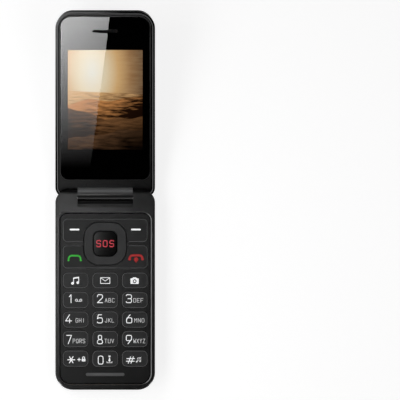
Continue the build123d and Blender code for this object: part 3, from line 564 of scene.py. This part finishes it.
# ---------------------------------------------------------------- lettering
# Strokes on a grid 6 wide and 8 high. A point given twice is a corner, others are rounded off.
grid_width, grid_height = 6, 8
strokes = {
    "0": "38 68 64 60 30 00 04 08 38",
    "1": "16 48 48 40",
    "2": "06 08 38 68 65 54 00 00 60",
    "3": "07 08 38 68 64 34 24; 24 34 64 60 30 00 01",
    "4": "48 02 02 62; 44 40",
    "5": "58 18 18 04 04 15 35 65 60 30 00 01",
    "6": "48 04 02 00 30 60 63 65 35 05 03",
    "7": "08 68 68 20",
    "8": "34 14 18 38 58 54 34; 34 64 60 30 00 04 34",
    "9": "20 64 66 68 38 08 05 03 33 63 65",
    "A": "00 38 38 60; 13 53",
    "B": "04 00 00 30 60 64 34 04 04 08 08 38 58 54 34",
    "C": "67 68 38 08 05 03 00 30 60 61",
    "D": "00 08 08 38 68 65 63 60 30 00",
    "E": "68 08 08 00 00 60; 04 54",
    "F": "68 08 08 00; 04 54",
    "G": "67 68 38 08 05 03 00 30 60 62 64 64 44",
    "H": "08 00; 68 60; 04 64",
    "I": "38 30",
    "J": "58 52 50 30 10 02",
    "K": "08 00; 68 04; 24 60",
    "L": "08 00 00 60",
    "M": "00 08 08 34 34 68 68 60",
    "N": "00 08 08 60 60 68",
    "O": "38 68 64 60 30 00 04 08 38",
    "P": "00 08 08 38 68 64 34 04",
    "Q": "38 68 64 60 30 00 04 08 38; 42 60",
    "R": "00 08 08 38 68 64 34 04; 34 60",
    "S": "67 68 38 08 04 34 64 60 30 00 01",
    "T": "08 68; 38 30",
    "U": "08 03 00 30 60 63 68",
    "V": "08 30 30 68",
    "W": "08 10 10 35 35 50 50 68",
    "X": "08 60; 68 00",
    "Y": "08 34 34 68; 34 30",
    "Z": "08 68 68 00 00 60",
}


def paths_of(character, left, low, right, high):
    """One character's lines, its grid stretched over a box."""
    paths = []
    for run in strokes[character].split(";"):
        points = []
        for across, up in run.split():
            x = left + int(across) / grid_width * (right - left)
            y = low + int(up) / grid_height * (high - low)
            points.append((x, y))
        paths += runs_of(points)
    return paths


def word(signs, left, low, right, high, thickness):
    """A word spread over a box, its letters set apart by a third of their width."""
    count = len(signs)
    wide = (right - left) / (count + (count - 1) / 3)
    inset = thickness / 2
    paths = []
    for k, character in enumerate(signs):
        start = left + k * wide * 4 / 3
        end = start + wide - inset
        paths += paths_of(character, start + inset, low + inset, end, high - inset)
    return trace(paths, thickness)


# ---------------------------------------------------------------- signs on the keys
def ink(name, colour, backlight=0.0):
    """Printed ink, a little uneven, and lit from below where the backlight isn't 0."""
    shader = Shader(name, colour, 0.5)
    uneven = shader.noise(0.5, 2)
    shader.vary(uneven, 0.45, 0.6)
    shader.set("Base Color", shader.blend(uneven, [0.94 * c for c in colour], colour))
    shader.set("Emission Color", (1, 1, 1, 1))
    shader.set("Emission Strength", backlight)
    return shader


ink_white = ink("ink_white", grey(250), 0.36)
ink_bright = ink("ink_bright", grey(250), 0.4)
ink_pale = ink("ink_pale", grey(200), 0.32)
ink_green = ink("ink_green", (0.045, 0.62, 0.05))
ink_red = ink("ink_red", (0.55, 0.02, 0.02))
ink_sos = ink("ink_sos", (0.82, 0.06, 0.09))


def sign(name, key, shader, meshes, x=None, y=None):
    """A sign printed on a key, about the key's middle or another place on it."""
    low, high = mm_box(key)
    middle = (low + high) / 2
    place = Vector((middle.x if x is None else x, middle.y if y is None else y, high.z))
    return piece(name, key, meshes, shader, Matrix.Translation(place * MM))


# Number rows from the top: their digit's and letters' lowest and highest place on the key
row_places = ((-1.62, 3.0, -1.3, 0.94), (-1.98, 2.72, -1.55, 0.69), (-2.65, 2.19, -2.14, 0.17))
# Each key's digit with its left and right side, then its letters with theirs
number_keys = (
    ("1", -3.88, -1.55, "", 0, 0),
    ("2", -4.3, -1.2, "ABC", -0.19, 4.94),
    ("3", -4.7, -1.5, "DEF", -0.75, 4.45),
    ("4", -5.45, -1.95, "GHI", 0.0, 4.79),
    ("5", -4.3, -1.2, "JKL", -0.19, 4.72),
    ("6", -4.55, -1.35, "MNO", -0.25, 5.03),
    ("7", -4.95, -1.95, "PQRS", -1.49, 5.0),
    ("8", -4.3, -1.2, "TUV", -0.4, 4.65),
    ("9", -4.7, -1.5, "WXYZ", -0.75, 5.46),
)
digit_stroke, letter_stroke = 0.42, 0.22
for k, (digit, left, right, letters, word_left, word_right) in enumerate(number_keys):
    digit_low, digit_high, word_low, word_high = row_places[k // 3]
    key = f"key_{digit}"
    drawn_digit = word(digit, left, digit_low, right, digit_high, digit_stroke)
    sign(f"digit_{digit}", key, ink_white, drawn_digit)
    if letters:
        drawn_word = word(letters, word_left, word_low, word_right, word_high, letter_stroke)
        sign(f"letters_{digit}", key, ink_pale, drawn_word)

# Voicemail: two reels on a line
reel_x, reel_y = (0.45, 2.7), -0.1
reels = [fill(ring(x, reel_y, 0.75), ring(x, reel_y, 0.36)) for x in reel_x]
tape = joined([(x, -0.7) for x in reel_x], 0.28)
sign("voicemail_sign", "key_1", ink_pale, [*reels, *tape])

# Zero, then a torch shining down into a tray
sign("digit_0", "key_0", ink_white, word("0", -3.87, -3.04, -0.91, 1.65, digit_stroke))
torch_body = fill([(1.7, 1.65), (2.8, 1.65), (2.8, 0.95), (2.45, 0.6), (2.05, 0.6), (1.7, 0.95)])
beam = fill([(2.05, 0.35), (2.45, 0.35), (2.8, -1.1), (2.25, -1.6), (1.7, -1.1)])
tray = joined([(0.9, -1.5), (0.9, -2.15), (3.6, -2.15), (3.6, -1.5)], 0.3)
sign("torch_sign", "key_0", ink_pale, [torch_body, *tray])
sign("torch_beam", "key_0", ink_white, [beam])

# Star, then a plus and a padlock
star_x, star_y, star_reach = -2.3, -0.6, 1.85
star = []
for arm in range(3):
    dx, dy = star_reach * cos(pi / 3 * arm), star_reach * sin(pi / 3 * arm)
    star += joined([(star_x - dx, star_y - dy), (star_x + dx, star_y + dy)], 0.48)
sign("star_sign", "key_star", ink_white, star)
plus = joined([(1.05, -0.5), (2.6, -0.5)], 0.4) + joined([(1.82, 0.25), (1.82, -1.25)], 0.4)
shackle = line([(3.65, -0.3), (3.65, 0.95), (4.2, 0.95), (4.75, 0.95), (4.75, -0.3)], 0.35)
lock = fill(round_box(4.2, -0.75, 1.95, 1.3, 0.2), ring(4.2, -0.75, 0.25, 12))
sign("lock_sign", "key_star", ink_white, [*plus, *shackle, lock])

hash_lines = [
    [(-4.2, 0.05), (-0.1, 0.05)],
    [(-4.4, -1.35), (-0.3, -1.35)],
    [(-2.2, 1.05), (-3.45, -2.4)],
    [(-0.75, 1.05), (-2.0, -2.4)],
]
hash_meshes = [mesh for ends in hash_lines for mesh in joined(ends, 0.42)]
sign("hash_sign", "key_hash", ink_white, hash_meshes)


def quavers(x, y, size, thickness):
    """Two joined quavers about a point."""
    left, right = x - size * 0.45, x + size * 0.5
    low, high = y - size * 0.5, y + size * 0.5
    right_rise = size * 0.12  # of the right note's head
    head_offset, head_radius = size * 0.18, size * 0.24
    heads = [
        fill(ring(left - head_offset, low, head_radius)),
        fill(ring(right - head_offset, low + right_rise, head_radius)),
    ]
    upper = [(left, high), (right, high + size * 0.14)]
    stems = joined([(left, low), *upper, (right, low + right_rise)], thickness)
    lower = [(px, py - thickness * 0.9) for px, py in upper]
    return heads + stems + joined(lower, thickness)


sign("silent_sign", "key_hash", ink_pale, quavers(2.2, -0.6, 1.9, 0.2))
sign("slash_sign", "key_hash", ink_pale, joined([(1.0, -2.0), (3.3, 0.85)], 0.2))
sign("music_sign", "music_key", ink_white, quavers(0.2, -0.1, 2.9, 0.38))

envelope = fill(round_box(0, -0.05, 5.2, 3.4, 0.3), round_box(0, -0.05, 4.56, 2.76, 0.1))
flap = joined([(-2.3, 1.4), (0, -0.35), (2.3, 1.4)], 0.3)
sign("message_sign", "message_key", ink_white, [envelope, *flap])

camera_outline = [
    (-2.25, -1.8), (2.05, -1.8), (2.05, 1.05), (1.1, 1.05),
    (0.75, 1.6), (-0.95, 1.6), (-1.3, 1.05), (-2.25, 1.05),
]
lens_x, lens_y = -0.1, -0.4
camera_body = fill(camera_outline, ring(lens_x, lens_y, 1.05))
sign("photo_sign", "camera_key", ink_bright, [camera_body, fill(ring(lens_x, lens_y, 0.5))])

sign("sos_sign", "sos_key", ink_sos, word("SOS", -4.75, -1.9, 4.75, 1.9, 0.58))

soft_low, soft_high = mm_box("soft_key_rocker")
dash_x, dash_up = 16.15, 0.43  # from the plate's middle
dash_y = (soft_low.y + soft_high.y) / 2 + dash_up
for side, label in sides:
    dash = [fill(round_box(0, 0, 5.1, 0.86, 0.35))]
    sign(f"dash_{label}", "soft_key_rocker", ink_bright, dash, side * dash_x, dash_y)


def handset(middle, across, drop, thickness, foot):
    """A handset lying over a key, as an arch with feet."""
    half = across / 2 - thickness / 2
    top = middle + drop / 2 - thickness / 2
    low = middle - drop / 2
    arch = [(-half, low), (-half, top), (0, top), (half, top), (half, low)]
    feet = [fill(round_box(x, low, thickness * 1.25, foot, 0.3)) for x in (-half, half)]
    return line(arch, thickness) + feet


call_low, call_high = mm_box("call_key_rocker")
call_x, end_x, call_down = -16.1, 16.25, 0.4  # from the plate's middle
call_y = (call_low.y + call_high.y) / 2 - call_down
call_arch = handset(0, 7.4, 2.9, 0.9, 0.7)
sign("call_sign", "call_key_rocker", ink_green, call_arch, call_x, call_y)
end_drop = [fill(ring(0, -1.0, 1.15)), fill([(-0.75, -1.85), (0.75, -1.85), (0, -2.75)])]
end_arch = handset(0.45, 8.0, 2.7, 1.2, 0.9)
sign("end_sign", "call_key_rocker", ink_red, [*end_arch, *end_drop], end_x, call_y)

# ---------------------------------------------------------------- display
# Places in the lid's own frame: across, along from the hinge axis, and height
window_back = -3.3
sheet_gap = 0.03  # the window's back to the mask before it and the picture behind it
display_across, display_low, display_high = 39.4, 23.8, 79.6
display_middle = (display_low + display_high) / 2
display_half = (display_high - display_low) / 2


def picture_shader():
    """Dunes under a low sun in haze, drawn with nodes over the display's own coordinates."""
    s = Shader("picture", (0, 0, 0), 0.3)
    s.set("Specular IOR Level", 0.0)
    x, y, _ = s.split(s.space)
    across = s.math("DIVIDE", x, display_across / 2 * MM)
    up = s.math("DIVIDE", y, display_half * MM)
    # Sky: white round the sun, then amber, and brown in the far corner
    sun_across, sun_up = -0.35, 0.55
    dx = s.math("SUBTRACT", across, sun_across)
    dy = s.math("MULTIPLY", s.math("SUBTRACT", up, sun_up), 0.8)
    away = s.math("SQRT", s.math("ADD", s.math("MULTIPLY", dx, dx), s.math("MULTIPLY", dy, dy)))
    sky = s.ramp(
        s.math("MULTIPLY", away, 0.6),
        (0.0, srgb(255, 252, 238)),
        (0.22, srgb(255, 236, 200)),
        (0.42, srgb(232, 186, 126)),
        (0.62, srgb(168, 126, 84)),
        (0.8, srgb(112, 82, 58)),
        (1.0, srgb(84, 60, 44)),
    )
    haze = s.noise(9, 3, (1, 5, 1))
    colour = s.blend(s.span(haze, 0, 0.14), sky, srgb(255, 225, 170))
    # Dunes, from the far ridge to the near one: crest, sway, lean, darkest and palest
    # colour, how much darker they grow to the right, and a seed
    for crest, sway, lean, dark, light, darker, seed in (
        (0.16, 0.05, -0.03, srgb(96, 62, 36), srgb(240, 190, 130), 0.45, 3),
        (0.0, 0.12, 0.08, srgb(34, 17, 7), srgb(220, 150, 88), 0.62, 9),
        (-0.3, 0.16, -0.12, srgb(34, 20, 9), srgb(128, 88, 54), -0.3, 14),
        (-0.68, 0.12, 0.1, srgb(20, 11, 5), srgb(104, 74, 50), -0.1, 21),
    ):
        wave = s.add("ShaderNodeTexNoise", noise_dimensions="1D")
        wave.inputs["Scale"].default_value = 0.9
        wave.inputs["Detail"].default_value = 1.0
        s.feed(wave.inputs["W"], s.math("ADD", across, float(seed)))
        ridge = s.math("MULTIPLY", s.math("SUBTRACT", wave.outputs["Fac"], 0.5), 2 * sway)
        ridge = s.math("ADD", ridge, s.math("MULTIPLY", across, lean))
        depth = s.math("SUBTRACT", s.math("ADD", ridge, crest), up)
        # Ripples grow towards the near dunes
        ripple = s.noise(3.4 - crest * 1.2, 4, (0.5, 3 + crest, 1), turn=0.2 + seed / 60)
        shade = s.math("ADD", s.span(ripple, -0.45, 0.45), s.span(depth, 0.8, 0.15, 0.0, 0.4))
        shade = s.math("SUBTRACT", shade, s.math("MULTIPLY", across, darker))
        dune = s.blend(s.span(shade, 0, 1, 0, 1), dark, light)
        colour = s.blend(s.span(depth, 0, 1, 0, 0.015), colour, dune)
    # The lit area dims towards its lower right corner
    corner = s.math("SUBTRACT", across, s.math("MULTIPLY", up, 1.3))
    dim = s.span(corner, 1.0, 0.1, 0.7, 2.1)
    s.set("Emission Color", s.blend(1.0, colour, s.grey_of(dim), "MULTIPLY"))
    s.set("Emission Strength", 0.75)
    return s


display_plan = round_box(0, 0, display_across, 2 * display_half, 0.25)
picture_place = Matrix.Translation(Vector((0, display_middle, window_back - sheet_gap)) * MM)
sheet_half = 0.01
picture = [fill(display_plan, half=sheet_half)]
piece("display_picture", "lid", picture, picture_shader(), LID @ picture_place)

window_low, window_high = mm_box("display_window")
mask_inset, mask_low, mask_high, mask_corner = 0.15, 7.25, 98.15, 4.2
mask_across = window_high.x - window_low.x - 2 * mask_inset
mask_middle = (mask_low + mask_high) / 2
slot_along, slot_across, slot_tall, slot_corner = 90.2, 13.8, 1.9, 0.9
mask = fill(
    round_box(0, mask_middle, mask_across, mask_high - mask_low, mask_corner, 8),
    [(x, y + display_middle) for x, y in display_plan],
    round_box(0, slot_along, slot_across, slot_tall, slot_corner),
    half=sheet_half,
)
piece("window_mask", "lid", [mask], mask_ink, LID, window_back + sheet_gap)

# ---------------------------------------------------------------- status window on the outer cover
# Drawn in a plane that faces out of the cover, upright with the hinge at the top
status_middle, cover_back = 54.25, -9.9
sign_depth, film_depth = -0.93, -0.945
status_place = Matrix.Translation(Vector((0, status_middle, cover_back)) * MM)
OUTSIDE = LID @ status_place @ Matrix.Rotation(pi, 4, "X")
icon_step = 10.7


def lit(name, colour):
    """A backlit sign's colour."""
    shader = Shader(name, colour, 0.4)
    glow = shader.span(shader.noise(1.5, 2), 0.9, 1.0)
    shader.set("Emission Color", shader.blend(glow, (0, 0, 0), colour))
    shader.set("Emission Strength", 1.0)
    return shader


def status_sign(name, shader, meshes):
    """A lit sign in the status window."""
    return piece(name, "lid", meshes, shader, OUTSIDE, sign_depth)


lit_green = lit("lit_green", srgb(40, 215, 80))
lit_red = lit("lit_red", srgb(235, 45, 45))
lit_cyan = lit("lit_cyan", srgb(40, 205, 235))

film_half = 0.003  # so thin that it stays between the signs and the light guides
film = fill(round_box(0, 0, 14.9, 41.0, 2.2), half=film_half)
piece("status_film", "lid", [film], mask_ink, OUTSIDE, film_depth)

arch_points = [(-3.1, -0.7), (-3.1, 0.7), (0, 0.7), (3.1, 0.7), (3.1, -0.7)]
call_line = line([(x, icon_step + y) for x, y in arch_points], 0.55)
call_feet = [fill(round_box(x, icon_step - 0.6, 1.1, 0.7, 0.25)) for x in (-3.0, 3.0)]
status_sign("status_call", lit_green, call_line + call_feet)

battery_case = fill(round_box(-0.25, 0, 5.4, 2.6, 0.3), round_box(-0.25, 0, 4.8, 2.0, 0.15))
battery_tip = fill(round_box(2.85, 0, 0.6, 1.3, 0.1))
battery_bars = [fill(round_box(x, 0, 0.7, 1.6, 0.1)) for x in (-2.0, -0.95, 0.1, 1.15)]
status_sign("status_battery", lit_red, [battery_case, battery_tip, *battery_bars])

message = fill(round_box(0, -icon_step, 5.5, 3.8, 0.4), round_box(0, -icon_step, 4.8, 3.1, 0.2))
message_flap = joined([(-1.7, 1.7 - icon_step), (0, -icon_step), (1.7, 1.7 - icon_step)], 0.35)
status_sign("status_message", lit_cyan, [message, *message_flap])

# ---------------------------------------------------------------- washers in the hinge
# One at each end of the barrel, in the gap between it and the ear
washer_x, washer_radius, washer_hole, washer_half = 14.6, 2.6, 1.1, 0.07
for side, label in sides:
    washer = fill(ring(0, 0, washer_radius, 40), ring(0, 0, washer_hole), half=washer_half)
    place = Matrix.Translation(hinge + Vector((side * washer_x * MM, 0, 0)))
    on_axis = place @ Matrix.Rotation(pi / 2, 4, "Y")
    piece(f"hinge_washer_{label}", "base", [washer], inner, on_axis)


# ---------------------------------------------------------------- floor and world
def stage_sheet(name, outline, shader):
    """A flat sheet of the studio, which isn't part of the phone."""
    mesh = bpy.data.meshes.new(name)
    mesh.from_pydata(outline, [], [range(len(outline))])
    mesh.materials.append(shader.material)
    sheet = bpy.data.objects.new(name, mesh)
    scene.collection.objects.link(sheet)
    return sheet


def paper_shader():
    """White to the camera and in gloss, and grey as a surface, so that it keeps the shadow."""
    glow_above, glow_below = 0.75, 0.25  # the second is added on its underside
    s = Shader("paper", (0.5, 0.5, 0.5), 0.9)
    s.set("Specular IOR Level", 0.0)
    s.set("Emission Color", (1, 1, 1, 1))
    ray = s.add("ShaderNodeLightPath").outputs
    seen = s.math("MAXIMUM", ray["Is Camera Ray"], ray["Is Glossy Ray"])
    seen = s.math("MAXIMUM", seen, ray["Is Transmission Ray"])
    below = s.add("ShaderNodeNewGeometry").outputs["Backfacing"]
    level = s.math("ADD", glow_above, s.math("MULTIPLY", below, glow_below))
    s.set("Emission Strength", s.math("MULTIPLY", seen, level))
    return s


floor_half, floor_drop = 2.0, 0.0002
floor_corners = ((-1, -1), (1, -1), (1, 1), (-1, 1))
floor_outline = [(x * floor_half, y * floor_half, -floor_drop) for x, y in floor_corners]
stage_sheet("floor", floor_outline, paper_shader())

# White walls, which gloss sees on the left only, and a dark ceiling, which flat gloss mirrors.
# The camera sees white all round. A direction's Z is 0 level and 1 straight up.
wall_level, wall_top = 0.8, 0.3
ceiling_level, ceiling_edge = 0.01, 0.62
right_dimming, right_start, right_full = 0.95, -0.75, -0.35
scene.world = bpy.data.worlds.new("studio")
studio = Nodes(scene.world)
background = studio.add("ShaderNodeBackground")
background.inputs["Color"].default_value = (1, 1, 1, 1)
studio.feed(studio.add("ShaderNodeOutputWorld").inputs["Surface"], background.outputs[0])
rays = studio.add("ShaderNodeLightPath").outputs
sideways, _, upward = studio.split(studio.add("ShaderNodeTexCoord").outputs["Generated"])
walls = studio.span(upward, wall_level, ceiling_level, wall_top, ceiling_edge)
dimmed = studio.span(sideways, 0.0, right_dimming, right_start, right_full)
dimmed = studio.math("MULTIPLY", dimmed, rays["Is Glossy Ray"])
shown = studio.math("MULTIPLY", walls, studio.math("SUBTRACT", 1.0, dimmed))
shown = studio.math("MAXIMUM", shown, rays["Is Camera Ray"])
studio.feed(background.inputs["Strength"], shown)


# ---------------------------------------------------------------- lamps
def lamp(name, place, aim, level_size, rising_size, power):
    """A soft box, in metres and watts; its first size lies level, and its second one rises."""
    data = bpy.data.lights.new(name, "AREA")
    data.shape = "RECTANGLE"
    data.size, data.size_y = level_size, rising_size
    data.energy = power
    made = bpy.data.objects.new(name, data)
    made.location = place
    made.rotation_mode = "QUATERNION"
    made.rotation_quaternion = (Vector(aim) - Vector(place)).to_track_quat("-Z", "Y")
    made.visible_camera = False
    scene.collection.objects.link(made)
    return made


phone_middle = (0.0, 0.0, 0.0)
lamp("key_left", (-0.088, -0.07, 0.17), (0.0, -0.07, 0.0), 0.42, 0.08, 0.205)
fill_right = lamp("fill_right", (0.35, -0.1, 0.6), phone_middle, 0.5, 0.4, 0.78)
fill_right.visible_glossy = False
lamp("barrel_strip", (0.0, 0.12, 0.22), phone_middle, 0.06, 0.03, 0.006)

# A softbox that only gloss sees, where the window mirrors the camera's line of sight. Its
# outline is in the lid's frame, in millimetres, and its right edge runs slantwise down the window.
card_away = 0.165
card_outline = [(-26, 3), (-9.1, 3), (-4.9, 36.8), (0.34, 79.4), (2.3, 98.4), (-26, 98.4)]


def softbox_shader():
    """Light that grows along the lid and fades to the right, with a paler rim left and on top."""
    strength, growth = 12.4, 1.6
    dark_end, bright_end = 12, 96  # along the lid
    left_end, right_end, right_share = -24, 2.3, 0.6
    rim_left, rim_top, rim_fade, rim_more = -22.7, 97.4, 0.2, 0.3
    s = Shader("softbox", (0, 0, 0), 1.0)
    s.set("Specular IOR Level", 0.0)
    s.set("Emission Color", (1, 1, 1, 1))
    x, y, _ = s.split(s.space)
    rise = s.math("POWER", s.span(y, 0, 1, dark_end * MM, bright_end * MM), growth)
    aside = s.span(x, 1.0, right_share, left_end * MM, right_end * MM)
    left_rim = s.span(x, rim_more, 0, rim_left * MM, (rim_left + rim_fade) * MM)
    top_rim = s.span(y, 0, rim_more, rim_top * MM, (rim_top + rim_fade) * MM)
    rim = s.math("ADD", s.math("MAXIMUM", left_rim, top_rim), 1.0)
    level = s.math("MULTIPLY", s.math("MULTIPLY", rise, aside), rim)
    s.set("Emission Strength", s.math("MULTIPLY", level, strength))
    return s


softbox = stage_sheet("softbox", [(x * MM, y * MM, 0) for x, y in card_outline], softbox_shader())
softbox.matrix_world = LID @ Matrix.Translation(lid_up * card_away)
softbox.visible_camera = False
softbox.visible_diffuse = False
softbox.visible_shadow = False
softbox.visible_transmission = False

# ---------------------------------------------------------------- camera
pixel = 0.5266 * MM
picture_width = 400
middle_column, middle_row = 94.8, 0.05  # the picture's middle, in pixels from the phone's origin
camera = bpy.data.objects.new("camera", bpy.data.cameras.new("camera"))
camera.data.type = "ORTHO"
camera.data.ortho_scale = picture_width * pixel
camera.data.clip_start, camera.data.clip_end = 0.01, 10
camera.location = (middle_column * pixel, middle_row * pixel, 1.0)
scene.collection.objects.link(camera)
scene.camera = camera
